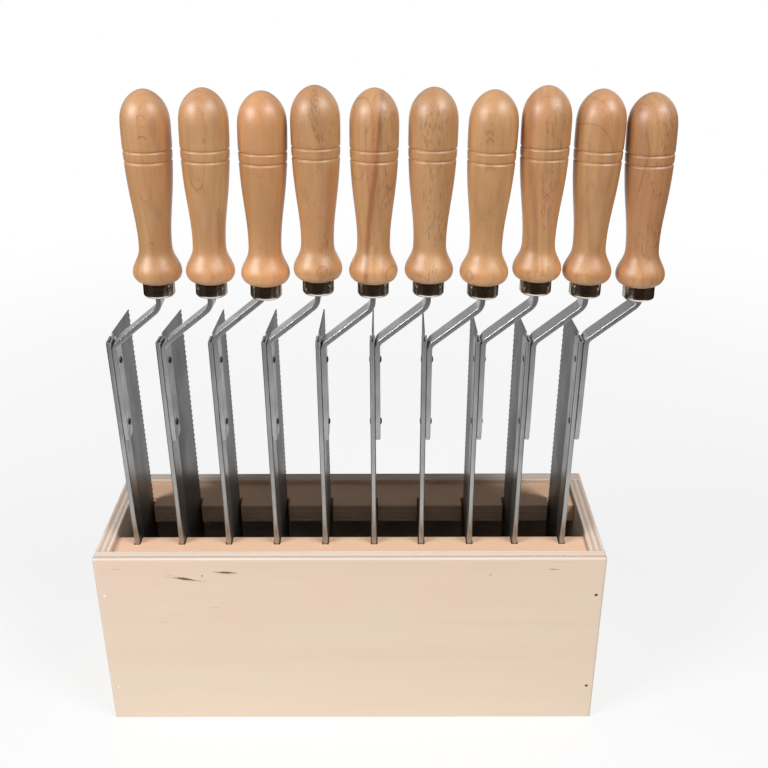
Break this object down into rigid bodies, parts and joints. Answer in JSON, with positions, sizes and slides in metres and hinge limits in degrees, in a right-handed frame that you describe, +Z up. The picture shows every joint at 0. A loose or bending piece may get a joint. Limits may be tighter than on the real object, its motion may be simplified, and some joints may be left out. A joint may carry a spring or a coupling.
{
  "type": "wooden saw rack",
  "caption": "Open plywood box with slotted ledges that holds a row of back saws upright, blades down, each with a cranked flat bar and a turned wooden handle.",
  "frame": {"origin": "centre of the box's underside", "axes": "+X along the row of saws, towards the side that the handles crank to; +Y from the front panel to the back panel, which is also from spines to teeth; +Z up"},
  "size_m": [0.3285, 0.1, 0.3983],
  "materials": {
    "plywood": "pale plywood, sanded and matt",
    "ledge_plywood": "warm pale plywood, sanded and matt",
    "beech": "turned beech, clear lacquer, semi-gloss",
    "ferrule_nickel": "nickel plated, polished",
    "crank_steel": "bright drawn flat bar",
    "spine_steel": "folded sheet steel, satin",
    "blade_steel": "ground spring steel, satin",
    "brad_steel": "dull wire brad"
  },
  "bodies": {
    "rack": {"front_panel": "plywood", "back_panel": "plywood", "left_panel": "plywood", "right_panel": "plywood", "floor_panel": "plywood", "front_ledge": "ledge_plywood", "rear_ledge": "ledge_plywood", "panel_brads": "brad_steel"},
    "saw_01": {"handle_01": "beech", "ferrule_01": "ferrule_nickel", "crank_01": "crank_steel", "spine_01": "spine_steel", "blade_01": "blade_steel"},
    "saw_02": {"handle_02": "beech", "ferrule_02": "ferrule_nickel", "crank_02": "crank_steel", "spine_02": "spine_steel", "blade_02": "blade_steel"},
    "saw_03": {"handle_03": "beech", "ferrule_03": "ferrule_nickel", "crank_03": "crank_steel", "spine_03": "spine_steel", "blade_03": "blade_steel"},
    "saw_04": {"handle_04": "beech", "ferrule_04": "ferrule_nickel", "crank_04": "crank_steel", "spine_04": "spine_steel", "blade_04": "blade_steel"},
    "saw_05": {"handle_05": "beech", "ferrule_05": "ferrule_nickel", "crank_05": "crank_steel", "spine_05": "spine_steel", "blade_05": "blade_steel"},
    "saw_06": {"handle_06": "beech", "ferrule_06": "ferrule_nickel", "crank_06": "crank_steel", "spine_06": "spine_steel", "blade_06": "blade_steel"},
    "saw_07": {"handle_07": "beech", "ferrule_07": "ferrule_nickel", "crank_07": "crank_steel", "spine_07": "spine_steel", "blade_07": "blade_steel"},
    "saw_08": {"handle_08": "beech", "ferrule_08": "ferrule_nickel", "crank_08": "crank_steel", "spine_08": "spine_steel", "blade_08": "blade_steel"},
    "saw_09": {"handle_09": "beech", "ferrule_09": "ferrule_nickel", "crank_09": "crank_steel", "spine_09": "spine_steel", "blade_09": "blade_steel"},
    "saw_10": {"handle_10": "beech", "ferrule_10": "ferrule_nickel", "crank_10": "crank_steel", "spine_10": "spine_steel", "blade_10": "blade_steel"}
  },
  "joints": [
    {"name": "saw_10_lift", "type": "slide", "parent": "rack", "child": "saw_10", "axis": [0, -0.0384, 0.9993], "range_m": [0, 0.12]},
    {"name": "saw_09_lift", "type": "slide", "parent": "saw_10", "child": "saw_09", "axis": [0, -0.0384, 0.9993], "range_m": [0, 0.12]},
    {"name": "saw_08_lift", "type": "slide", "parent": "saw_09", "child": "saw_08", "axis": [0, -0.0384, 0.9993], "range_m": [0, 0.12]},
    {"name": "saw_07_lift", "type": "slide", "parent": "saw_08", "child": "saw_07", "axis": [0, -0.0384, 0.9993], "range_m": [0, 0.12]},
    {"name": "saw_06_lift", "type": "slide", "parent": "saw_07", "child": "saw_06", "axis": [0, -0.0384, 0.9993], "range_m": [0, 0.12]},
    {"name": "saw_05_lift", "type": "slide", "parent": "saw_06", "child": "saw_05", "axis": [0, -0.0384, 0.9993], "range_m": [0, 0.12]},
    {"name": "saw_04_lift", "type": "slide", "parent": "saw_05", "child": "saw_04", "axis": [0, -0.0384, 0.9993], "range_m": [0, 0.12]},
    {"name": "saw_03_lift", "type": "slide", "parent": "saw_04", "child": "saw_03", "axis": [0, -0.0384, 0.9993], "range_m": [0, 0.12]},
    {"name": "saw_02_lift", "type": "slide", "parent": "saw_03", "child": "saw_02", "axis": [0, -0.0384, 0.9993], "range_m": [0, 0.12]},
    {"name": "saw_01_lift", "type": "slide", "parent": "saw_02", "child": "saw_01", "axis": [0, -0.0384, 0.9993], "range_m": [0, 0.12]}
  ]
}
